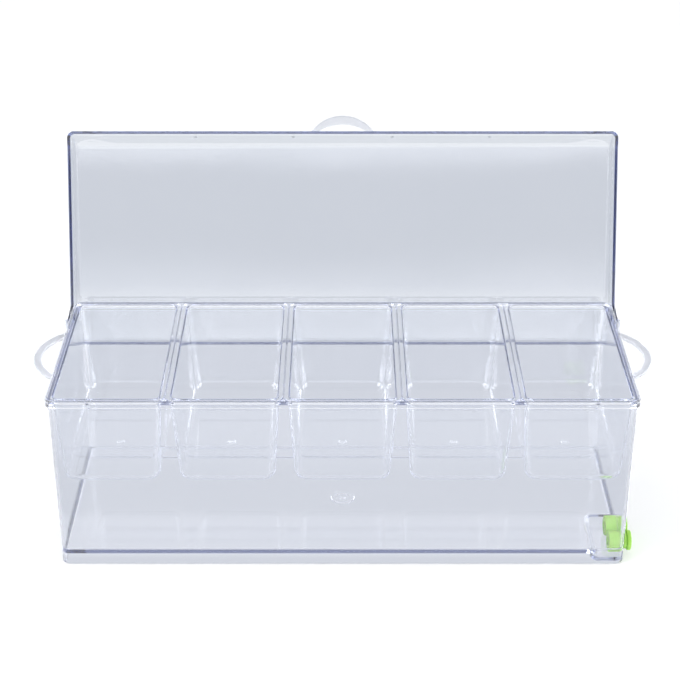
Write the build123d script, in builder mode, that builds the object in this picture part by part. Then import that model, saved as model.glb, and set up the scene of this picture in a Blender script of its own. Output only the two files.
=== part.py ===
"""Bar garnish tray: a clear ice tub with five lift-out bins, a hinged domed lid and two drain plugs.

Millimetres, +Z up, X along the tray, -Y towards the person who uses it. The origin is on the table,
under the centre of the tub. The lid is drawn as it lies when closed, on a plane through the hinge
axis that leans back, so it stands open.
"""

import os
from math import cos, radians, sin, tan

from build123d import *

# Ice tub: outer size over the rim, walls and floor
tub_length = 390.0
tub_depth = 148.0
tub_height = 130.0
rim_overhang = 1.7
rim_height = 4.8
rim_corner_radius = 7.0
rim_edge_radius = 0.6
wall_thickness = 2.0
end_wall_draft = 0.4
front_wall_draft = 2.2
wall_corner_radius = 6.0
floor_level = 11.0
floor_thickness = 2.6
floor_edge_radius = 1.6
foot_edge_radius = 1.2

# Lift-out bins, which hang in a step inside the rim
bin_count = 5
bin_depth = 66.0
bin_wall = 1.2
bin_floor = 1.5
bin_draft_angle = 3.5
bin_corner_radius = 5.5
bin_bottom_corner_radius = 9.0
bin_bottom_edge_radius = 6.5
bin_mouth_radius = 1.2
flange_thickness = 2.4
flange_land = 2.6
flange_edge_radius = 0.5
flange_corner_radius = 5.5
bin_gap = 0.4
rim_bead_width = 1.2
seat_side_gap = 0.3
seat_face_gap = 0.1

# Hinge: pin axis measured from the rim's rear edge and from its top
hinge_from_rear = 12.0
hinge_below_rim = 12.7
open_angle = 110.0
pin_radius = 2.0
pin_running_clearance = 0.08
pin_depth = 3.6
pin_seat_clearance = 0.05
pin_end_gap = 0.3
pin_head_radius = 4.2
pin_head_thickness = 3.0
pin_head_edge_radius = 1.2
boss_radius = 5.0
ear_radius = 6.5
ear_running_gap = 0.3

# Lid: a shallow dome whose skirts pass outside the rim
lid_side_overhang = 3.5
lid_front_overhang = 3.4
lid_rear_overhang = 4.0
lid_rise = 15.8
lid_skirt_drop = 3.2
lid_thickness = 2.0
lid_draft = 1.0
lid_edge_radius = 5.0
lid_front_roll_radius = 13.0
lid_rear_cut_start = 8.5
lid_stop_gap = 0.3

# Crescent loops: reach past the edge, radius of the outer arc and width of the band
side_loop_reach = 17.5
side_loop_radius = 42.0
side_loop_band = 5.3
side_loop_below_rim = 4.0
lid_loop_reach = 11.0
lid_loop_radius = 28.2
lid_loop_band = 6.5
lid_loop_inner_radius = 33.5
loop_thickness = 2.5
loop_edge_radius = 0.7

# Drain: a sump in the floor, and two holes in the right-hand wall with their bushes and plugs
drain_names = ("front", "rear")
drain_from_front = 16.0
drain_pitch = 19.0
drain_height = 11.8
sump_width = 18.0
sump_length = 42.0
sump_from_front = 7.8
sump_depth = 6.5
sump_wall = 2.2
sump_corner_radius = 4.0
bush_bore_radius = 3.1
bush_neck_radius = 4.8
bush_neck_clearance = 0.1
bush_wall_gap = 0.15
bush_inner_radius = 7.0
bush_inner_thickness = 8.0
bush_outer_radius = 5.8
bush_outer_thickness = 2.4
bush_edge_radius = 0.6
plug_disc_radius = 7.0
plug_disc_thickness = 2.8
plug_disc_edge_radius = 0.7
plug_stem_clearance = 0.08
plug_stem_length = 12.0
plug_nose_chamfer = 0.8
plug_face_gap = 0.1

# One overrun serves every cut
overrun = 5.0

# Levels and planes that several pieces share
half_length = tub_length / 2
half_depth = tub_depth / 2
flange_level = tub_height - flange_thickness
seat_level = flange_level - seat_face_gap
bead_length = tub_length - 2 * rim_bead_width
bead_depth = tub_depth - 2 * rim_bead_width
hinge_y = half_depth - hinge_from_rear
hinge_z = tub_height - hinge_below_rim
lean = radians(open_angle)

# The closed lid's own plane: x along the tray, y to the rear, z up from the hinge axis
lid_plane = Plane(
    origin=(0, hinge_y, hinge_z), x_dir=(1, 0, 0), z_dir=(0, sin(lean), cos(lean))
)
lid_side_plane = Plane(origin=lid_plane.origin, x_dir=lid_plane.y_dir, z_dir=(1, 0, 0))
lid_inner_x = half_length + lid_side_overhang - lid_thickness
boss_face = lid_inner_x - ear_running_gap


def wall_inset(z, draft):
    """How far a wall's outer face lies inside the rim's edge at height z, with its draft."""
    return rim_overhang + draft * (1 - z / tub_height)


def tub_section(z, thickness=0.0):
    """Rounded rectangle of the tub's wall at height z, drawn thickness further in."""
    RectangleRounded(
        tub_length - 2 * (wall_inset(z, end_wall_draft) + thickness),
        tub_depth - 2 * (wall_inset(z, front_wall_draft) + thickness),
        wall_corner_radius - thickness,
    )


def loop_section(edge, root, reach, outer_radius, inner_radius, band):
    """Crescent that stands out past edge along the sketch's x, cut off at its root."""
    with Locations((edge + reach - outer_radius, 0)):
        Circle(outer_radius)
    with Locations((edge + reach - band - inner_radius, 0)):
        Circle(inner_radius, mode=Mode.SUBTRACT)
    with Locations((root - outer_radius, 0)):
        Rectangle(2 * outer_radius, 2 * outer_radius + band, mode=Mode.SUBTRACT)


def crescent_loop(plane, edge, root, reach, outer_radius, inner_radius, band):
    """Crescent loop that stands on plane, with the edges along its arcs rounded."""
    with BuildPart() as loop:
        with BuildSketch(plane):
            loop_section(edge, root, reach, outer_radius, inner_radius, band)
        extrude(amount=loop_thickness)
        fillet(loop.edges().filter_by(GeomType.CIRCLE), loop_edge_radius)
    return loop.part


# Inside of the ice tub, above its floor
with BuildPart() as tub_inside:
    with BuildSketch(Plane.XY.offset(floor_level)):
        tub_section(floor_level, wall_thickness)
    with BuildSketch(Plane.XY.offset(tub_height)):
        tub_section(tub_height, wall_thickness)
    loft()
    fillet(tub_inside.faces().sort_by(Axis.Z)[0].edges(), floor_edge_radius)

# Hollow inside the foot skirt, under the floor
foot_top = floor_level - floor_thickness
with BuildPart() as foot_inside:
    with BuildSketch(Plane.XY):
        tub_section(0, wall_thickness)
    with BuildSketch(Plane.XY.offset(foot_top)):
        tub_section(foot_top, wall_thickness)
    loft()

# Where the drain lies
sump_right = half_length - wall_inset(floor_level, end_wall_draft) - wall_thickness
sump_level = floor_level - sump_depth
sump_front = -half_depth + sump_from_front
drain_ys = [-half_depth + drain_from_front + i * drain_pitch for i in range(len(drain_names))]
drain_wall_outer = half_length - wall_inset(drain_height, end_wall_draft)
drain_wall_inner = drain_wall_outer - wall_thickness

# Carrying loops, one at each end of the rim
loop_level = tub_height - side_loop_below_rim - loop_thickness
side_loop_root = half_length - wall_inset(loop_level, end_wall_draft) - wall_thickness / 2
side_loops = [
    crescent_loop(
        Plane(origin=(0, 0, loop_level), x_dir=(side, 0, 0), z_dir=(0, 0, 1)),
        half_length,
        side_loop_root,
        side_loop_reach,
        side_loop_radius,
        side_loop_radius - side_loop_band,
        side_loop_band,
    )
    for side in (-1, 1)
]

# Ice tub: drafted walls on a foot skirt, and a rim that carries the bins
with BuildPart() as tub:
    with BuildSketch(Plane.XY):
        tub_section(0)
    with BuildSketch(Plane.XY.offset(tub_height)):
        tub_section(tub_height)
    loft()
    fillet(tub.faces().sort_by(Axis.Z)[0].edges(), foot_edge_radius)
    with BuildSketch(Plane.XY.offset(tub_height - rim_height)):
        RectangleRounded(tub_length, tub_depth, rim_corner_radius)
    extrude(amount=rim_height)
    fillet(tub.faces().sort_by(Axis.Z)[-1].outer_wire().edges(), rim_edge_radius)
    add(tub_inside.part, mode=Mode.SUBTRACT)
    add(foot_inside.part, mode=Mode.SUBTRACT)

    # Step inside the rim, on which the bins' flanges lie
    with BuildSketch(Plane.XY.offset(seat_level)):
        RectangleRounded(bead_length, bead_depth, rim_corner_radius - rim_bead_width)
    extrude(amount=flange_thickness + overrun, mode=Mode.SUBTRACT)

    # Drain sump: a pocket that hangs under the floor beside the right-hand wall
    sump_outer_width = sump_width + sump_wall + wall_thickness / 2
    with BuildSketch(Plane.XY.offset(sump_level - sump_wall)) as sump_outside:
        with Locations((sump_right + wall_thickness / 2, sump_front + sump_length / 2)):
            Rectangle(
                sump_outer_width, sump_length + 2 * sump_wall, align=(Align.MAX, Align.CENTER)
            )
        fillet(
            sump_outside.vertices().group_by(Axis.X)[0], sump_corner_radius + sump_wall
        )
    extrude(amount=sump_wall + sump_depth - floor_thickness / 2)
    with BuildSketch(Plane.XY.offset(sump_level)) as sump_inside:
        with Locations((sump_right, sump_front + sump_length / 2)):
            Rectangle(sump_width, sump_length, align=(Align.MAX, Align.CENTER))
        fillet(sump_inside.vertices().group_by(Axis.X)[0], sump_corner_radius)
    extrude(amount=sump_depth + floor_edge_radius, mode=Mode.SUBTRACT)

    # Drain holes
    with BuildSketch(Plane.YZ.offset(drain_wall_inner - wall_thickness / 2)):
        with Locations(*[(y, drain_height) for y in drain_ys]):
            Circle(bush_neck_radius + bush_neck_clearance)
    extrude(amount=2 * wall_thickness, mode=Mode.SUBTRACT)

    # Carrying loop and hinge boss on each end
    add(side_loops)
    for side in (-1, 1):
        boss_root = half_length - wall_inset(hinge_z, end_wall_draft) - wall_thickness / 2
        with BuildSketch(Plane.YZ.offset(side * boss_root)):
            with Locations((hinge_y, hinge_z)):
                Circle(boss_radius)
        extrude(amount=side * (boss_face - boss_root))
        with BuildSketch(Plane.YZ.offset(side * boss_face)):
            with Locations((hinge_y, hinge_z)):
                Circle(pin_radius + pin_seat_clearance)
        extrude(amount=-side * (pin_depth + pin_end_gap), mode=Mode.SUBTRACT)

# Bins: a drafted cup under a flange with a rolled mouth
flange_length = (bead_length - 2 * seat_side_gap - (bin_count - 1) * bin_gap) / bin_count
flange_depth = bead_depth - 2 * seat_side_gap
bin_pitch = flange_length + bin_gap
mouth_inset = flange_land + bin_mouth_radius
bin_taper = tan(radians(bin_draft_angle))
bin_bottom = tub_height - bin_depth


def bin_section(z, inset, bottom_radius, top_radius):
    """Rounded rectangle of a bin's wall at height z, drawn inset in from the flange's edge."""
    drop_share = (tub_height - z) / bin_depth
    draft = (tub_height - z) * bin_taper
    RectangleRounded(
        flange_length - 2 * (inset + draft),
        flange_depth - 2 * (inset + draft),
        top_radius + (bottom_radius - top_radius) * drop_share,
    )


def bin_cup(centre_x, bottom, thickness):
    """Closed form of a bin's outside, or of its hollow where thickness is the wall."""
    inset = mouth_inset - bin_wall + thickness
    with BuildPart() as cup:
        for level in (bottom, tub_height):
            with BuildSketch(Plane((centre_x, 0, level))):
                bin_section(
                    level,
                    inset,
                    bin_bottom_corner_radius - thickness,
                    bin_corner_radius - thickness,
                )
        loft()
        fillet(cup.faces().sort_by(Axis.Z)[0].edges(), bin_bottom_edge_radius - thickness)
    return cup.part


bins = []
for i in range(bin_count):
    centre_x = (i - (bin_count - 1) / 2) * bin_pitch
    cup_outside = bin_cup(centre_x, bin_bottom, 0)
    cup_inside = bin_cup(centre_x, bin_bottom + bin_floor, bin_wall)
    with BuildPart() as garnish_bin:
        add(cup_outside)
        with BuildSketch(Plane((centre_x, 0, flange_level))):
            RectangleRounded(flange_length, flange_depth, flange_corner_radius)
        extrude(amount=flange_thickness)
        fillet(garnish_bin.faces().sort_by(Axis.Z)[-1].edges(), flange_edge_radius)
        add(cup_inside, mode=Mode.SUBTRACT)
        mouth = garnish_bin.faces().sort_by(Axis.Z)[-1].inner_wires()[0]
        fillet(mouth.edges(), bin_mouth_radius)
    garnish_bin.part.label = f"garnish_bin_{i + 1}"
    bins.append(garnish_bin.part)

# Lid, as it lies when closed: distances from the hinge axis
lid_front = -(hinge_y + half_depth + lid_front_overhang)
lid_rear = hinge_from_rear + lid_rear_overhang
lid_top = hinge_below_rim + lid_rise
lid_skirt_edge = hinge_below_rim - lid_skirt_drop

# The rear skirt stops short, so that its edge meets the tub's rear wall when the lid is open
rear_wall_y = hinge_from_rear - wall_inset(hinge_z - lid_rear, front_wall_draft)
lid_rear_edge = (rear_wall_y + lid_stop_gap - lid_rear * cos(lean)) / sin(lean)


def lid_dome(inset, edge):
    """Closed form of the dome's outside, or of its hollow where inset is the thickness."""
    roll = lid_front_roll_radius - inset
    top = lid_top - inset
    front = lid_front + inset
    rear = lid_rear - inset
    half = lid_inner_x + lid_thickness - inset
    rounding = lid_edge_radius - inset
    with BuildPart() as dome:
        with BuildSketch(lid_side_plane) as profile:
            with BuildLine():
                Polyline(
                    (front, edge), (front, top), (rear, top), (rear, edge), close=True
                )
            make_face()
            upper = profile.vertices().group_by(Axis.Y)[-1].sort_by(Axis.X)
            fillet(upper[0], roll)
            fillet(upper[-1], rounding)
        extrude(amount=half, both=True)
        draft_rise = top - edge
        draft_inset = lid_draft * draft_rise / (lid_top - lid_skirt_edge)
        with BuildSketch(Plane(lid_plane.origin, x_dir=(1, 0, 0), z_dir=lid_plane.y_dir * -1)):
            with BuildLine():
                Polyline(
                    (-half, edge),
                    (half, edge),
                    (half - draft_inset, top),
                    (-half + draft_inset, top),
                    close=True,
                )
            make_face()
        extrude(amount=tub_length, both=True, mode=Mode.INTERSECT)
        for end in (dome.faces().sort_by(Axis.X)[0], dome.faces().sort_by(Axis.X)[-1]):
            low_edge = lid_plane.offset(edge).location.position
            chain = end.edges().sort_by(
                lambda e: abs((e.center() - low_edge).dot(lid_plane.z_dir))
            )[1:]
            fillet(chain, rounding)
    return dome.part


dome_outside = lid_dome(0, lid_skirt_edge)
dome_inside = lid_dome(lid_thickness, lid_skirt_edge - overrun)
lid_loop = crescent_loop(
    Plane(
        origin=lid_plane.offset(lid_skirt_edge).origin,
        x_dir=lid_plane.y_dir * -1,
        z_dir=lid_plane.z_dir,
    ),
    -lid_front,
    -lid_front - lid_thickness / 2,
    lid_loop_reach,
    lid_loop_radius,
    lid_loop_inner_radius,
    lid_loop_band,
)

with BuildPart() as lid:
    add(dome_outside)
    add(dome_inside, mode=Mode.SUBTRACT)
    with BuildSketch(lid_side_plane):
        with Locations((lid_rear_cut_start, lid_rear_edge)):
            Rectangle(lid_rear, lid_top, align=(Align.MIN, Align.MAX))
    extrude(amount=tub_length, both=True, mode=Mode.SUBTRACT)

    # Hinge ears that reach down from the side skirts to the pins
    for side in (-1, 1):
        with BuildSketch(lid_side_plane.offset(side * lid_inner_x)):
            Circle(ear_radius)
            with BuildLine():
                Polyline(
                    (-ear_radius, 0),
                    (-2 * ear_radius, lid_skirt_edge),
                    (-2 * ear_radius, lid_skirt_edge + lid_thickness),
                    (lid_rear_cut_start, lid_skirt_edge + lid_thickness),
                    (ear_radius, 0),
                    close=True,
                )
            make_face()
            Circle(pin_radius + pin_running_clearance, mode=Mode.SUBTRACT)
        extrude(amount=side * lid_thickness)

    # Finger loop on the front skirt's edge
    add(lid_loop)

# Hinge pins: a shank in the tub's boss and a domed head outside the lid's ear
pins = {}
head_face = lid_inner_x + lid_thickness + ear_running_gap
for side, name in ((-1, "hinge_pin_left"), (1, "hinge_pin_right")):
    with BuildPart() as hinge_pin:
        with BuildSketch(Plane.YZ.offset(side * (boss_face - pin_depth))):
            with Locations((hinge_y, hinge_z)):
                Circle(pin_radius)
        extrude(amount=side * (head_face - boss_face + pin_depth))
        with BuildSketch(Plane.YZ.offset(side * head_face)):
            with Locations((hinge_y, hinge_z)):
                Circle(pin_head_radius)
        extrude(amount=side * pin_head_thickness)
        head_end = hinge_pin.faces().sort_by(Axis.X)[-1 if side > 0 else 0]
        fillet(head_end.edges(), pin_head_edge_radius)
    pins[name] = hinge_pin.part

# Drain bushes: a flange on each side of the wall and a bore for the plug's stem
bushes = {}
plugs = {}
inner_face = drain_wall_inner - bush_wall_gap
outer_face = drain_wall_outer + bush_wall_gap
bush_inner_end = inner_face - bush_inner_thickness
bush_outer_end = outer_face + bush_outer_thickness
disc_inner_x = bush_outer_end + plug_face_gap
for name, y in zip(drain_names, drain_ys):
    with BuildPart() as drain_bush:
        for start, end, radius in (
            (bush_inner_end, inner_face, bush_inner_radius),
            (inner_face, outer_face, bush_neck_radius),
            (outer_face, bush_outer_end, bush_outer_radius),
        ):
            with BuildSketch(Plane.YZ.offset(start)):
                with Locations((y, drain_height)):
                    Circle(radius)
            extrude(amount=end - start)
        ends = drain_bush.faces().sort_by(Axis.X)
        fillet([*ends[0].edges(), *ends[-1].edges()], bush_edge_radius)
        with BuildSketch(Plane.YZ.offset(bush_inner_end)):
            with Locations((y, drain_height)):
                Circle(bush_bore_radius)
        extrude(amount=bush_outer_end - bush_inner_end, mode=Mode.SUBTRACT)
    bushes[f"drain_bush_{name}"] = drain_bush.part

    # Plug: a stem that fills the bore, under a round disc to pull
    with BuildPart() as drain_plug:
        with BuildSketch(Plane.YZ.offset(disc_inner_x)):
            with Locations((y, drain_height)):
                Circle(plug_disc_radius)
        extrude(amount=plug_disc_thickness)
        fillet(drain_plug.edges().filter_by(GeomType.CIRCLE), plug_disc_edge_radius)
        with BuildSketch(Plane.YZ.offset(disc_inner_x)):
            with Locations((y, drain_height)):
                Circle(bush_bore_radius - plug_stem_clearance)
        extrude(amount=-plug_stem_length)
        nose = drain_plug.faces().sort_by(Axis.X)[0]
        chamfer(nose.edges(), plug_nose_chamfer)
    plugs[f"drain_plug_{name}"] = drain_plug.part

pieces = {"tub": tub.part, "lid": lid.part, **pins, **bushes, **plugs}
for bin_part in bins:
    pieces[bin_part.label] = bin_part

os.makedirs("parts", exist_ok=True)
for name, piece in pieces.items():
    piece.label = name
    export_step(piece, f"parts/{name}.step")
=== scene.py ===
# %% [markdown]
# # Bar garnish tray in clear moulded plastic
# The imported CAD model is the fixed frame: a clear ice tub on a foot skirt, five lift-out bins, a
# hinged domed lid that stands open, two hinge pins, and a drain with green bushes and plugs. This
# script gives those solids their finishes, adds the small moulded details that are too fine for
# the CAD source, and sets up the photograph's camera, floor and light. All lengths are metres.

from math import cos, pi, radians, sin

import bpy
import numpy as np
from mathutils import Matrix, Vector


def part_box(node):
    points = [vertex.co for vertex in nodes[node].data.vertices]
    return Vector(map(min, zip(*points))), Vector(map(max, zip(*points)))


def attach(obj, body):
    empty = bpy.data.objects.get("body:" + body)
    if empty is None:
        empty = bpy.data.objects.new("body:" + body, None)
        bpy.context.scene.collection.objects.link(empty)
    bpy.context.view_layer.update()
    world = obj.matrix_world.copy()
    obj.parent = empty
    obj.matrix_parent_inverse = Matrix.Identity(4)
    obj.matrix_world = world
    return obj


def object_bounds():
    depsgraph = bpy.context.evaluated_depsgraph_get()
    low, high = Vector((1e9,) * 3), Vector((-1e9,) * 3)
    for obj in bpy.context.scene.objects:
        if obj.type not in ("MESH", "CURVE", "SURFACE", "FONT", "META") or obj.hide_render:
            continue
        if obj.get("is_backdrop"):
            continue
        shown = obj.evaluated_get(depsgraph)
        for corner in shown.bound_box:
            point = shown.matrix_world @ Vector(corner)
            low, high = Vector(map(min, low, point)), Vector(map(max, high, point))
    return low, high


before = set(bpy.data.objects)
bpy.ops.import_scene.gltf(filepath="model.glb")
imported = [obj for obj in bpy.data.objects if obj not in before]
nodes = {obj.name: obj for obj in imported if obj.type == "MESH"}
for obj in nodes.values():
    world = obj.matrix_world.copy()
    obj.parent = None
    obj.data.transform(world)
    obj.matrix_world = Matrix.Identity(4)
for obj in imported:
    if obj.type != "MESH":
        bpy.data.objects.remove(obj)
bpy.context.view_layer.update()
print("CAD nodes:", sorted(nodes))

# %% [markdown]
# ## Camera
# The photograph is taken from the front and a little above. Its lines give the camera: the tub's
# upright edges and the rim's two end edges meet at vanishing points that fit a focal length of
# 1680 pixels, a pitch of 27.4 degrees down and a distance of 1.22 m. A camera can be placed by eye
# or with a tracking tool. Working it out once from known sizes is closer, so the tray's corners
# fall within a pixel or two of the photograph's corners.

# %% Camera
photo_pixels = 680
focal_pixels = 1680
camera_place = (0.0, -1.024, 0.668)
camera_pitch_down = radians(27.4)
optical_centre_u = 342.7
sensor_millimetres = 36.0

camera_data = bpy.data.cameras.new("photo_camera")
camera_data.sensor_width = sensor_millimetres
camera_data.lens = camera_data.sensor_width * focal_pixels / photo_pixels
camera_data.shift_x = (photo_pixels / 2 - optical_centre_u) / photo_pixels
camera = bpy.data.objects.new("photo_camera", camera_data)
camera.location = camera_place
camera.rotation_euler = (pi / 2 - camera_pitch_down, 0.0, 0.0)
bpy.context.scene.collection.objects.link(camera)
bpy.context.scene.camera = camera
print(f"lens {camera_data.lens:.2f} mm, shift {camera_data.shift_x:.4f}")

# %% [markdown]
# ## Node helpers
# A finish is a small graph of shader nodes. Typing every link is long, so one helper makes a node
# with its values, and every finish below reads as a list of nodes and what feeds them.


# %% Node helpers
def add_node(tree, kind, values=None, **settings):
    """Adds a node of that kind; values fill its input sockets by name or number."""
    node = tree.nodes.new(kind)
    for name, value in settings.items():
        setattr(node, name, value)
    for socket, value in (values or {}).items():
        if isinstance(value, bpy.types.NodeSocket):
            tree.links.new(value, node.inputs[socket])
        else:
            node.inputs[socket].default_value = value
    return node


def new_finish(name):
    """An empty material: its tree and its output node."""
    finish = bpy.data.materials.new(name)
    finish.use_nodes = True
    finish.node_tree.nodes.clear()
    output = add_node(finish.node_tree, "ShaderNodeOutputMaterial")
    return finish, finish.node_tree, output


def new_group(name, inputs, outputs):
    """An empty node group with inputs by name and first value, and outputs that are numbers."""
    group = bpy.data.node_groups.new(name, "ShaderNodeTree")
    for title, start in inputs.items():
        kind = "NodeSocketVector" if isinstance(start, tuple) else "NodeSocketFloat"
        socket = group.interface.new_socket(title, in_out="INPUT", socket_type=kind)
        socket.default_value = start
    for title in outputs:
        group.interface.new_socket(title, in_out="OUTPUT", socket_type="NodeSocketFloat")
    print(name, "takes", list(inputs), "and gives", list(outputs))
    return group, add_node(group, "NodeGroupInput").outputs


print("node helpers:", [helper.__name__ for helper in (add_node, new_finish, new_group)])

# %% [markdown]
# ## Masks
# Most effects below are masks: numbers from 0 to 1 that say where something happens. A mask can
# be painted, but one worked out from coordinates has no resolution and stays sharp from any
# distance. These helpers do the sums with nodes.


# %% Mask helpers
def combine(operation, first, *others, clamp=False):
    """Result of a sum on the socket first and the others, which are sockets or numbers."""
    values = dict(enumerate((first, *others)))
    node = add_node(
        first.id_data, "ShaderNodeMath", values, operation=operation, use_clamp=clamp
    )
    return node.outputs[0]


def both_of(first, second):
    """Product of two masks."""
    return combine("MULTIPLY", first, second)


def band(source, start, full):
    """1 where source lies past full, 0 before start, with a soft ramp between them."""
    ramp = add_node(
        source.id_data,
        "ShaderNodeMapRange",
        {"Value": source, "From Min": start, "From Max": full},
        interpolation_type="SMOOTHSTEP",
    )
    return ramp.outputs["Result"]


def between(source, rise, fall):
    """1 between the ramps rise and fall, each a pair of where it starts and where it is full."""
    return both_of(band(source, *rise), band(source, *fall))


def mixed(share, first, second, kind="RGBA"):
    """first where share is 0, second where it is 1, and a blend of both between."""
    values = {"Factor": share, "A": first, "B": second}
    return add_node(share.id_data, "ShaderNodeMix", values, data_type=kind).outputs["Result"]


mask_helpers = (combine, both_of, band, between, mixed)
print("mask helpers:", [helper.__name__ for helper in mask_helpers])

# %% [markdown]
# ## Studio room
# A product shot of clear plastic is made on a white sweep. Clear plastic has almost no colour of
# its own: it shows what it mirrors and what lies behind it. So the world tells rays apart. The
# camera sees white past the object, dull surfaces get a plain even light, and rays that clear
# plastic has mirrored or bent see a room: a bright panel at each side, a narrow one in front, and
# a pale low wall under that one. The panels give the white glints and the lid's bright band. A
# room picture would do the same, but it would have to be photographed.

# %% World
side_level, low_wall_level, panel_strength, room_level = 3.2, 0.85, 2.0, 1.0
side_from_middle, side_bottom, side_top = (0.62, 0.68), (0.16, 0.24), (0.62, 0.54)
toward_camera, front_from_middle = (-0.5, -0.6), (0.6, 0.5)
front_bottom, front_top, low_wall_top = (0.314, 0.324), (0.43, 0.39), (0.275, 0.235)
plain_colour, plain_strength = (0.95, 0.97, 1.0, 1.0), 0.72
room_colour = (0.87, 0.885, 0.925, 1.0)
white = (1.0, 1.0, 1.0, 1.0)

world = bpy.data.worlds.new("studio")
bpy.context.scene.world = world
world.use_nodes = True
tree = world.node_tree
tree.nodes.clear()
direction = add_node(tree, "ShaderNodeTexCoord").outputs["Generated"]
axes = add_node(tree, "ShaderNodeSeparateXYZ", {0: direction}).outputs
sideways, up = combine("ABSOLUTE", axes["X"]), axes["Z"]
side_panel = both_of(band(sideways, *side_from_middle), between(up, side_bottom, side_top))
facing = both_of(band(axes["Y"], *toward_camera), band(sideways, *front_from_middle))
front_panel = both_of(facing, between(up, front_bottom, front_top))
low_wall = both_of(facing, band(up, *low_wall_top))
panels = combine("MULTIPLY_ADD", side_panel, side_level, front_panel)
panels = combine("MULTIPLY_ADD", low_wall, low_wall_level, panels)
seen_strength = combine("MULTIPLY_ADD", panels, panel_strength, room_level)

rays = add_node(tree, "ShaderNodeLightPath").outputs
sharp = combine("MAXIMUM", rays["Is Glossy Ray"], rays["Is Transmission Ray"])
plain_light, seen_light, white_light = (
    add_node(tree, "ShaderNodeBackground", {"Color": colour, "Strength": strength}).outputs[0]
    for colour, strength in (
        (plain_colour, plain_strength),
        (room_colour, seen_strength),
        (white, 1.0),
    )
)
through = add_node(tree, "ShaderNodeMixShader", {0: sharp, 1: plain_light, 2: seen_light})
behind = add_node(
    tree,
    "ShaderNodeMixShader",
    {0: rays["Is Camera Ray"], 1: through.outputs[0], 2: white_light},
)
add_node(tree, "ShaderNodeOutputWorld", {"Surface": behind.outputs[0]})
print("world nodes:", len(tree.nodes))

# %% [markdown]
# ## Floor sheet
# The sweep is one wide sheet. It lies a fifth of a millimetre under the tray's foot, because a
# clear surface and the floor at exactly the same place show as black speckles.

# %% Floor sheet
floor_size = 8.0
floor_film = 0.0002
floor_reach = floor_size / 2
corner_signs = ((-1, -1), (1, -1), (1, 1), (-1, 1))
corners = [(x * floor_reach, y * floor_reach, -floor_film) for x, y in corner_signs]
floor_mesh = bpy.data.meshes.new("floor")
floor_mesh.from_pydata(corners, [], [(0, 1, 2, 3)])
floor = bpy.data.objects.new("floor", floor_mesh)
bpy.context.scene.collection.objects.link(floor)
floor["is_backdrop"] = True
print("floor", floor_size, "m wide")

# %% [markdown]
# ## Floor seen by the camera and in mirrors
# The floor tells rays apart as the room does. The camera sees matt white with a small lift, which
# keeps the soft shadow but burns out beside it. Mirrored rays see it brighter, most of all at the
# sides, as a floor under big lamps is. Little of that light comes under the tray, so the lift is
# low there, and the foot's inner walls stay grey.

# %% Floor in mirrors
camera_lift, mirror_lift, mirror_side_lift, under_tray_share = 0.32, 2.0, 0.8, 0.25
side_start, tray_end, tray_edge = (0.36, 0.46), (0.195, 0.205), (0.075, 0.085)
matt_colour = (0.86, 0.86, 0.86, 1.0)

floor_finish, tree, output = new_finish("white_sweep")
rays = add_node(tree, "ShaderNodeLightPath").outputs
spot = add_node(tree, "ShaderNodeTexCoord").outputs["Object"]
axes = add_node(tree, "ShaderNodeSeparateXYZ", {0: spot}).outputs
aside, back = combine("ABSOLUTE", axes["X"]), axes["Y"]
mirrored = combine("MULTIPLY_ADD", band(aside, *side_start), mirror_side_lift, mirror_lift)
beside = combine("MAXIMUM", band(aside, *tray_end), band(combine("ABSOLUTE", back), *tray_edge))
lit_share = combine("MULTIPLY_ADD", beside, 1.0 - under_tray_share, under_tray_share)
seen = combine("MULTIPLY", rays["Is Camera Ray"], camera_lift)
lift = combine("MULTIPLY_ADD", rays["Is Glossy Ray"], both_of(mirrored, lit_share), seen)
matt = add_node(tree, "ShaderNodeBsdfDiffuse", {"Color": matt_colour})
glow = add_node(tree, "ShaderNodeEmission", {"Color": white, "Strength": lift})
white_sheet = add_node(tree, "ShaderNodeAddShader", {0: matt.outputs[0], 1: glow.outputs[0]})
print("floor lift in mirrors:", mirror_lift, "to", mirror_lift + mirror_side_lift)

# %% [markdown]
# ## Floor seen through the plastic
# Rays that come through the walls end on the floor too, and what they find there is most of the
# plastic's colour in the photograph. It is a glowing sheet of painted light and shade: cool grey,
# with a painted shadow darkest under the bins, painted light a little lighter just behind the
# tray, much lighter at the sides where the loops look, and lightest far back, which shows in the
# lid's top band. These painted tones belong to the stage. They stay behind when the tray is used
# in another scene.

# %% Floor through the plastic
# Painted light and shade: the sheet glows for rays through the plastic, grey as painted shade,
# with a painted shadow under the bins and patches of painted light behind the tray, beside the
# loops and far back.
painted_sheet_light_and_shade = (0.64, 0.668, 0.735, 1.0)
painted_light_behind_tray = between(back, (0.25, 0.27), (0.38, 0.34))
painted_shadow_under_bins = between(back, (-0.02, 0.0), (0.1, 0.045))
painted_light_behind_loops = both_of(band(aside, 0.225, 0.245), between(back, (0.1, 0.14), (0.36, 0.32)))
for share, colour in (
    (painted_light_behind_tray, (0.70, 0.725, 0.78, 1.0)),
    (painted_shadow_under_bins, (0.545, 0.575, 0.64, 1.0)),
    (band(back, 0.72, 0.765), (0.80, 0.825, 0.87, 1.0)),
    (band(back, 1.1, 1.4), (1.02, 1.03, 1.05, 1.0)),
    (painted_light_behind_loops, (0.86, 0.88, 0.93, 1.0)),
):
    painted_sheet_light_and_shade = mixed(share, painted_sheet_light_and_shade, colour)
painted_light_sheet = add_node(tree, "ShaderNodeEmission", {"Color": painted_sheet_light_and_shade, "Strength": 1.0})
sheet = add_node(
    tree,
    "ShaderNodeMixShader",
    {0: rays["Is Transmission Ray"], 1: white_sheet.outputs[0], 2: painted_light_sheet.outputs[0]},
)
tree.links.new(sheet.outputs[0], output.inputs["Surface"])
floor_mesh.materials.append(floor_finish)
print("floor nodes:", len(tree.nodes))

# %% [markdown]
# ## Lamps
# Two large area lamps stand for softboxes, one high on the left and one high on the right. Their
# size gives the soft highlights. The lamps add little to the world's light, which does most of the
# work.


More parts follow.
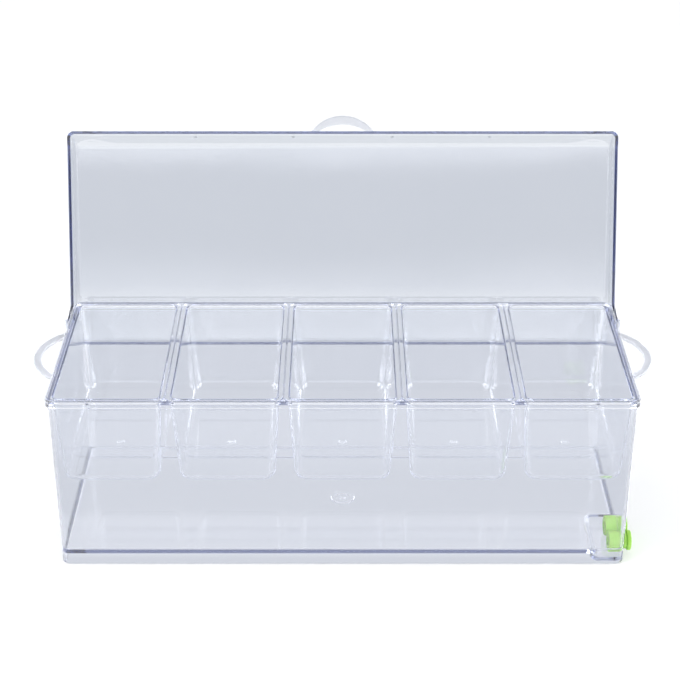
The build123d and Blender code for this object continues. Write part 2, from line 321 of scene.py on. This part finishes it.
# %% Lamps
def softbox(name, place, target, width, depth, power):
    """A rectangular area lamp at place that faces target."""
    data = bpy.data.lights.new(name, "AREA")
    data.shape = "RECTANGLE"
    data.size, data.size_y = width, depth
    data.energy = power
    lamp = bpy.data.objects.new(name, data)
    lamp.location = place
    aim = Vector(target) - Vector(place)
    lamp.rotation_euler = aim.to_track_quat("-Z", "Y").to_euler()
    bpy.context.scene.collection.objects.link(lamp)
    return lamp


tray_middle = (0.0, 0.0, 0.1)
softbox("softbox_left", (-1.1, -0.6, 1.5), tray_middle, width=1.0, depth=0.7, power=10.0)
softbox("softbox_right", (1.2, -0.2, 1.4), tray_middle, width=0.8, depth=0.6, power=6.0)
print("lamps:", len(bpy.data.lights))

# %% [markdown]
# ## Moulded surface
# No moulded face is perfectly smooth. Plastic shrinks as it cools, which leaves long shallow
# waves, and handling leaves a fine haze of marks. This node group reads the object's own
# coordinates and gives three maps: a slow tint, a roughness and a height for a Bump node. Each
# finish sets its own amounts, so one group serves them all.

# %% Moulded surface group
haze_scale = 9.0
haze_low, haze_high = 0.35, 0.7
surface, given = new_group(
    "moulded_surface",
    {
        "Wave Scale": 22.0,
        "Mark Scale": 900.0,
        "Roughness Low": 0.03,
        "Roughness High": 0.1,
        "Mark Share": 0.2,
    },
    ("Tint", "Roughness", "Height"),
)
place = add_node(surface, "ShaderNodeTexCoord").outputs["Object"]


def noise(scale, detail, roughness):
    """Noise over the object's own coordinates."""
    values = {"Vector": place, "Scale": scale, "Detail": detail, "Roughness": roughness}
    return add_node(surface, "ShaderNodeTexNoise", values).outputs["Fac"]


waves = noise(given["Wave Scale"], detail=2.0, roughness=0.45)
marks = noise(given["Mark Scale"], detail=3.0, roughness=0.6)
haze = noise(haze_scale, detail=4.0, roughness=0.6)
haze_range = add_node(
    surface,
    "ShaderNodeMapRange",
    {
        "Value": haze,
        "From Min": haze_low,
        "From Max": haze_high,
        "To Min": given["Roughness Low"],
        "To Max": given["Roughness High"],
    },
)
height = combine("ADD", waves, combine("MULTIPLY", marks, given["Mark Share"]))
add_node(
    surface,
    "NodeGroupOutput",
    {"Tint": haze, "Roughness": haze_range.outputs["Result"], "Height": height},
)
print("moulded_surface nodes:", len(surface.nodes))

# %% [markdown]
# ## Frosted loops
# The crescent loops at the tub's ends and on the lid's front edge look milky beside the polished
# walls, because that part of the mould is left matt for grip. A mask could be painted as vertex
# colours, but the CAD meshes stay untouched, so this group measures how far a point lies along an
# axis from the tray's middle and gives 1 past the loop's root.

# %% Frosted mask group
no_axis = (0.0, 0.0, 0.0)
frosted, given = new_group(
    "frosted_past_root", {"Axis": no_axis, "Root": 0.0, "Ramp": 0.0}, ("Mask",)
)
place = add_node(frosted, "ShaderNodeTexCoord").outputs["Object"]
folded = add_node(frosted, "ShaderNodeVectorMath", {0: place}, operation="ABSOLUTE")
reach = add_node(
    frosted,
    "ShaderNodeVectorMath",
    {0: folded.outputs["Vector"], 1: given["Axis"]},
    operation="DOT_PRODUCT",
)
past = combine("SUBTRACT", reach.outputs["Value"], given["Root"])
add_node(
    frosted, "NodeGroupOutput", {"Mask": combine("DIVIDE", past, given["Ramp"], clamp=True)}
)
print("frosted_past_root nodes:", len(frosted.nodes))

# %% [markdown]
# ## Slate edges of painted shade
# Where a clear sheet ends, the light that has run along inside it comes out, and it has lost most
# of its warm part on the way. That draws a slate-blue line. The absorption inside the plastic
# gives such lines on long straight edges by itself. Three edges are too short or too curved for
# it: each bin's rolled mouth, the lid's cut rear skirt, and the corner between the tub's floor and
# its end walls. There the line is painted shade: this group marks them, and the finish mixes a
# slate colour into the surface colour. The group takes a slice of the object between two distances
# along an axis, and in it the faces that turn a given way. The left half is folded over the right
# one, so one slice serves both ends.

# %% Slate edge group
edges, given = new_group(
    "painted_edge_shade",
    {
        "Axis": no_axis,
        "Facing": no_axis,
        "From": 0.0,
        "To": 0.0,
        "Facing From": 0.0,
        "Facing To": 0.0,
    },
    ("Mask",),
)
place = add_node(edges, "ShaderNodeTexCoord").outputs
axes = add_node(edges, "ShaderNodeSeparateXYZ", {0: place["Object"]}).outputs
end = combine("SIGN", axes["X"])
fold = add_node(edges, "ShaderNodeCombineXYZ", {"X": end, "Y": 1.0, "Z": 1.0}).outputs[0]


def folded_along(source, axis):
    """How far source lies along axis, with the left half folded over the right one."""
    halved = add_node(edges, "ShaderNodeVectorMath", {0: source, 1: fold}, operation="MULTIPLY")
    along = add_node(
        edges,
        "ShaderNodeVectorMath",
        {0: halved.outputs["Vector"], 1: axis},
        operation="DOT_PRODUCT",
    )
    return along.outputs["Value"]


def inside_range(source, low, high):
    """1 where source lies between the low and high sockets, else 0."""
    return both_of(combine("GREATER_THAN", source, low), combine("LESS_THAN", source, high))


in_slice = inside_range(
    folded_along(place["Object"], given["Axis"]), given["From"], given["To"]
)
turned = inside_range(
    folded_along(place["Normal"], given["Facing"]), given["Facing From"], given["Facing To"]
)
add_node(edges, "NodeGroupOutput", {"Mask": both_of(in_slice, turned)})
print("painted_edge_shade nodes:", len(edges.nodes))

# %% [markdown]
# ## Clear plastic
# The tub, bins, lid and pins are one clear styrene plastic with a faint cold tint. Light that
# crosses a wall meets 2 mm of it and stays pale. Light that enters an edge runs along inside the
# sheet for centimetres, so the same plastic looks slate blue there. A wall that is tinted all over
# can't do both. So the volume absorbs light by distance, and the long edges come out dark by
# themselves from every side.


# %% Clear plastic
plastic_index = 1.54
edge_colour = (0.50, 0.55, 0.72)
handling_share = 0.02
frosted_roughness = 0.55
frosted_ramp = 0.0006
frosted_colour = (0.985, 0.988, 0.995)
# Painted shade: this slate colour is mixed into the surface colour at the marked edges.
painted_edge_shade_colour = (0.07, 0.085, 0.19)


def clear_plastic(
    name, thin, thick, density, roughness, wave, ripple, root=None, slate=None, tint=painted_edge_shade_colour
):
    """Refracting plastic: colour from thin to thick over the surface, absorption inside it.

    root is an axis and the distance along it past which the surface is frosted. slate holds the
    inputs of an edge where slate shade is painted, and tint is the colour of that painted shade.
    """
    finish, tree, output = new_finish(name)
    skin = {
        "Wave Scale": wave,
        "Roughness Low": roughness[0],
        "Roughness High": roughness[1],
        "Mark Share": handling_share,
    }
    maps = add_node(tree, "ShaderNodeGroup", skin, node_tree=surface).outputs
    colour = mixed(maps["Tint"], (*thin, 1.0), (*thick, 1.0))
    haze = maps["Roughness"]
    if root:
        loop = {"Axis": root[0], "Root": root[1], "Ramp": frosted_ramp}
        mask = add_node(tree, "ShaderNodeGroup", loop, node_tree=frosted).outputs["Mask"]
        haze = mixed(mask, haze, frosted_roughness, "FLOAT")
        colour = mixed(mask, colour, (*frosted_colour, 1.0))
    # Painted shade: a slate line mixed into the surface colour where the edge mask is 1.
    if slate:
        mask = add_node(tree, "ShaderNodeGroup", slate, node_tree=edges).outputs["Mask"]
        colour = mixed(mask, colour, (*tint, 1.0))
    bump = add_node(
        tree, "ShaderNodeBump", {"Strength": 1.0, "Distance": ripple, "Height": maps["Height"]}
    )
    shader = add_node(
        tree,
        "ShaderNodeBsdfPrincipled",
        {
            "Base Color": colour,
            "Roughness": haze,
            "IOR": plastic_index,
            "Transmission Weight": 1.0,
            "Normal": bump.outputs["Normal"],
        },
    )
    body = add_node(
        tree, "ShaderNodeVolumeAbsorption", {"Color": (*edge_colour, 1.0), "Density": density}
    )
    tree.links.new(shader.outputs[0], output.inputs["Surface"])
    tree.links.new(body.outputs[0], output.inputs["Volume"])
    return finish


print("clear plastic has index", plastic_index, "and lets through", edge_colour)

# %% [markdown]
# ## Where the special edges lie
# The lid leans back by its opening angle, so its own directions are worked out once: up along the
# panel, and inward from the panel toward the bins. Each edge of painted slate shade is a slice
# along an axis, with the faces that turn toward a direction by between a least and a most cosine.
# A most cosine past 1 leaves that side open.

# %% Edges and roots
lid_lean = radians(110.0)
lid_up = (0.0, -cos(lid_lean), sin(lid_lean))
lid_inward = (0.0, -sin(lid_lean), -cos(lid_lean))
hinge_place = (0.0, 0.062, 0.1173)
hinge_inward = float(np.dot(hinge_place, lid_inward))
diagonal = 0.7071
any_more = 1.1


def slate_inputs(axis, slice_ends, direction, cosines):
    """Inputs of an edge where slate shade is painted."""
    return {
        "Axis": axis,
        "From": slice_ends[0],
        "To": slice_ends[1],
        "Facing": direction,
        "Facing From": cosines[0],
        "Facing To": cosines[1],
    }


tub_loop_root = ((1.0, 0.0, 0.0), 0.1952)
lid_loop_root = (lid_up, 0.2710)
tub_floor_corner = slate_inputs(
    (diagonal, 0.0, -diagonal),
    (0.1255, 0.1270),
    (-diagonal, 0.0, diagonal),
    (0.715, any_more),
)
lid_rear_cut = slate_inputs(
    lid_inward, (hinge_inward - 0.0172, hinge_inward - 0.0160), lid_inward, (0.8, any_more)
)
bin_mouth = slate_inputs((0.0, 0.0, 1.0), (0.1292, 0.1299), (0.0, 1.0, 0.0), (-0.5, 0.5))
print("hinge lies", round(hinge_inward, 4), "along the lid's inward direction")

# %% Clear finishes
finishes = {
    "clear_tub": clear_plastic(
        "clear_tub",
        thin=(0.99, 0.99, 0.995),
        thick=(0.97, 0.975, 0.985),
        density=20.0,
        roughness=(0.0, 0.03),
        wave=14.0,
        ripple=0.00006,
        root=tub_loop_root,
        slate=tub_floor_corner,
        # Painted shade in the corner between the tub's floor and its end walls.
        tint=(0.22, 0.24, 0.30),
    ),
    # Painted shade: the lid is the same plastic as the tub, and its darker thin and thick colours
    # are painted shade over the whole lid.
    "clear_lid": clear_plastic(
        "clear_lid",
        thin=(0.96, 0.965, 0.97),
        thick=(0.90, 0.92, 0.93),
        density=18.0,
        roughness=(0.01, 0.05),
        wave=7.0,
        ripple=0.00022,
        root=lid_loop_root,
        # Painted shade along the lid's cut rear skirt.
        slate=lid_rear_cut,
    ),
    "clear_bin": clear_plastic(
        "clear_bin",
        thin=(0.99, 0.992, 0.996),
        thick=(0.97, 0.977, 0.985),
        density=4.0,
        roughness=(0.0, 0.03),
        wave=18.0,
        ripple=0.00005,
        # Painted shade along each bin's rolled mouth.
        slate=bin_mouth,
    ),
    "clear_pin": clear_plastic(
        "clear_pin",
        thin=(0.98, 0.985, 0.995),
        thick=(0.95, 0.965, 0.985),
        density=9.0,
        roughness=(0.0, 0.03),
        wave=60.0,
        ripple=0.00002,
    ),
}
print("clear finishes:", sorted(finishes))

# %% [markdown]
# ## Green silicone
# The drain's bushes and plugs are soft silicone in a bright leaf green. Silicone has a dull skin
# with a fine grain, and light enters it a little, so the shader mixes some scatter under a rough
# surface.

# %% Green silicone
silicone_index = 1.41
silicone_skin = {
    "Wave Scale": 160.0,
    "Mark Scale": 2600.0,
    "Roughness Low": 0.38,
    "Roughness High": 0.58,
    "Mark Share": 0.8,
}
grain_strength, grain_depth = 0.6, 0.00006
scatter_share, scatter_radius, scatter_scale = 0.25, (0.6, 1.0, 0.3), 0.002


def green_silicone(name, light, deep):
    """Soft rubber: two greens by the surface's height, a fine grain and a little light inside."""
    finish, tree, output = new_finish(name)
    maps = add_node(tree, "ShaderNodeGroup", silicone_skin, node_tree=surface).outputs
    bump = add_node(
        tree,
        "ShaderNodeBump",
        {"Strength": grain_strength, "Distance": grain_depth, "Height": maps["Height"]},
    )
    shader = add_node(
        tree,
        "ShaderNodeBsdfPrincipled",
        {
            "Base Color": mixed(maps["Height"], (*light, 1.0), (*deep, 1.0)),
            "Roughness": maps["Roughness"],
            "IOR": silicone_index,
            "Subsurface Weight": scatter_share,
            "Subsurface Radius": scatter_radius,
            "Subsurface Scale": scatter_scale,
            "Normal": bump.outputs["Normal"],
        },
    )
    tree.links.new(shader.outputs[0], output.inputs["Surface"])
    return finish


for name, light, deep in (
    ("green_silicone", (0.62, 0.97, 0.26), (0.52, 0.93, 0.17)),
    ("green_plug", (0.58, 0.96, 0.22), (0.48, 0.90, 0.14)),
):
    finishes[name] = green_silicone(name, light, deep)
print("finishes:", sorted(finishes))

# %% [markdown]
# ## Finishes on the CAD pieces
# The solids already have the real shapes, so they stay and only their material slots change.

# %% Assign finishes
node_finish = {
    "tub": "clear_tub",
    "lid": "clear_lid",
    "hinge_pin_left": "clear_pin",
    "hinge_pin_right": "clear_pin",
    "drain_bush_front": "green_silicone",
    "drain_bush_rear": "green_silicone",
    "drain_plug_front": "green_plug",
    "drain_plug_rear": "green_plug",
}
for name, piece in nodes.items():
    for material_slot in piece.material_slots:
        material_slot.material = finishes[node_finish.get(name, "clear_bin")]
print("finished nodes:", len(nodes))

# %% [markdown]
# ## Marks left by the mould
# Plastic flows into a mould through a small gate, and thin pins push the cooled piece out. Both
# leave low round marks: one under each bin's floor, a wider one under the tub's floor, and four
# along the lid's front roll. In clear plastic they show as small bright rings. They are too fine
# for the CAD source. A bump in the material would vanish from the exported shape, so each mark is
# a thin closed lens of its own, a surface of revolution worked out on a grid of radius and angle.
# A film of air of a few hundredths of a millimetre parts it from the wall, because two clear
# surfaces at exactly the same place confuse the refraction.

# %% Surface of revolution
film = 0.00003
off_axis = (0.1, 0.2, 0.3)


def revolved(name, centre, axis, radii, heights, turns=40):
    """Closed surface of revolution about axis through centre.

    Point (t, a) = centre + radius(t) times (cos a, sin a) across the axis + height(t) along it.
    The first and last points lie on the axis, so one point each closes the two poles.
    """
    axis = np.array(axis) / np.linalg.norm(axis)
    across = np.cross(axis, np.roll(axis, 1) + off_axis)
    across /= np.linalg.norm(across)
    angles = np.linspace(0.0, 2 * pi, turns, endpoint=False)[:, None]
    ring = np.cos(angles) * across + np.sin(angles) * np.cross(axis, across)
    rows = radii[1:-1, None, None] * ring + heights[1:-1, None, None] * axis
    poles = heights[[0, -1], None] * axis
    points = np.concatenate((poles[:1], rows.reshape(-1, 3), poles[1:]))
    here = 1 + np.arange(rows.shape[0] * turns).reshape(-1, turns)
    there = np.roll(here, -1, axis=1)
    sides = np.stack((here[:-1], here[1:], there[1:], there[:-1]), axis=-1).reshape(-1, 4)
    top = np.stack((np.zeros(turns, int), here[0], there[0]), axis=-1)
    bottom = np.stack((np.full(turns, len(points) - 1), there[-1], here[-1]), axis=-1)
    mesh = bpy.data.meshes.new(name)
    faces = sides.tolist() + top.tolist() + bottom.tolist()
    mesh.from_pydata((points + np.array(centre)).tolist(), [], faces)
    mesh.polygons.foreach_set("use_smooth", np.ones(len(mesh.polygons), bool))
    piece = bpy.data.objects.new(name, mesh)
    bpy.context.scene.collection.objects.link(piece)
    return piece


print("film of air under a mark, in mm:", round(1000 * film, 3))

# %% Profile of a mark
pip_width_share, rim_place_share, rim_width_share = 0.22, 0.75, 0.16
back_share = 0.9


def mark_profile(radius, pip, rim, sunk=0.0, steps=28):
    """Radii and heights of a mark: a pip in the middle and a rim near the edge.

    Height = pip times a narrow bell at the axis + rim times a bell at three quarters of the
    radius, both faded to nothing at the edge; then straight back to the axis at the depth sunk.
    """
    share = np.linspace(0.0, 1.0, steps)
    pip_bell = pip * np.exp(-((share / pip_width_share) ** 2))
    rim_bell = rim * np.exp(-(((share - rim_place_share) / rim_width_share) ** 2))
    height = (pip_bell + rim_bell) * (1.0 - share**8)
    radii = np.concatenate((share * radius, [back_share * radius, 0.0]))
    return radii, np.concatenate((height, [-sunk, -sunk]))


print("a mark has", len(mark_profile(1.0, 1.0, 1.0)[0]), "points in its profile")

# %% Gate marks under the bins and the tub
gate_back = -0.0133
floor_underside = 0.0084
bin_gate = mark_profile(radius=0.0027, pip=0.0004, rim=0.00035)
tub_gate = mark_profile(radius=0.0085, pip=0.0006, rim=0.0004)
for name in sorted(nodes):
    if name.startswith("garnish_bin"):
        low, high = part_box(name)
        centre = ((low[0] + high[0]) / 2, gate_back, low[2] - film)
        gate = revolved(name + "_gate", centre, (0, 0, -1), *bin_gate)
        gate.data.materials.append(finishes["clear_bin"])
        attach(gate, name)
gate = revolved("tub_gate", (0, 0, floor_underside - film), (0, 0, -1), *tub_gate)
gate.data.materials.append(finishes["clear_tub"])
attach(gate, "tub")

# %% Pin marks along the lid's front roll
roll_inner_radius = 0.011
roll_from_edge = 0.013
lid_front_reach = 0.1394
lid_rise_above_hinge = 0.0285
roll_turn = radians(52.0)
pin_mark = mark_profile(radius=0.0012, pip=0.0, rim=0.00025)
hinge = np.array(hinge_place)
up, inward = np.array(lid_up), np.array(lid_inward)
roll_centre = hinge + (lid_front_reach - roll_from_edge) * up
roll_centre = roll_centre - (lid_rise_above_hinge - roll_from_edge) * inward
out = sin(roll_turn) * up - cos(roll_turn) * inward
for i, x in enumerate((-0.107, -0.036, 0.036, 0.107)):
    centre = roll_centre + (roll_inner_radius - film) * out + np.array((x, 0, 0))
    mark = revolved(f"lid_pin_mark_{i + 1}", centre, -out, *pin_mark)
    mark.data.materials.append(finishes["clear_lid"])
    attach(mark, "lid")
print("last lid mark at", [round(float(v), 4) for v in centre])

# %% [markdown]
# ## Plug buttons
# Each drain plug has a raised ring and a small pip on the face of its disc, to grip with a nail.
# The plugs are opaque, so the button simply sinks a little into the disc.

# %% Plug buttons
button_seat = 0.0001
plug_button = mark_profile(radius=0.0052, pip=0.0005, rim=0.0006, sunk=0.0004)
for name in ("drain_plug_front", "drain_plug_rear"):
    low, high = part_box(name)
    centre = (high[0] - button_seat, (low[1] + high[1]) / 2, (low[2] + high[2]) / 2)
    button = revolved(name + "_button", centre, (1, 0, 0), *plug_button, turns=64)
    button.data.materials.append(finishes["green_plug"])
    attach(button, name)
    print(button.name, "faces", len(button.data.polygons))

# %% [markdown]
# ## Light paths
# A ray that reaches the tub's rear wall has crossed up to a dozen surfaces of the bins and the
# tub, and a ray that enters an edge is thrown from face to face inside the sheet, where each turn
# counts as a bounce. Blender stops a path after twelve of them and then shows black. So the limits
# go up until the edges show their own slate colour.

# %% Light paths and colour
path_limit = 160
cycles = bpy.context.scene.cycles
cycles.max_bounces = path_limit
cycles.transmission_bounces = path_limit
cycles.glossy_bounces = path_limit
cycles.transparent_max_bounces = 16
bpy.context.scene.view_settings.view_transform = "Standard"
print("paths may turn", cycles.max_bounces, "times")

# %% [markdown]
# ## Sizes
# The dressed model's box is written down. The dressed model has to stay in the CAD
# model's box.

# %% Sizes and finish
low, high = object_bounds()
print("visual box in mm:", [round(1000 * c, 1) for c in (*low, *high)])
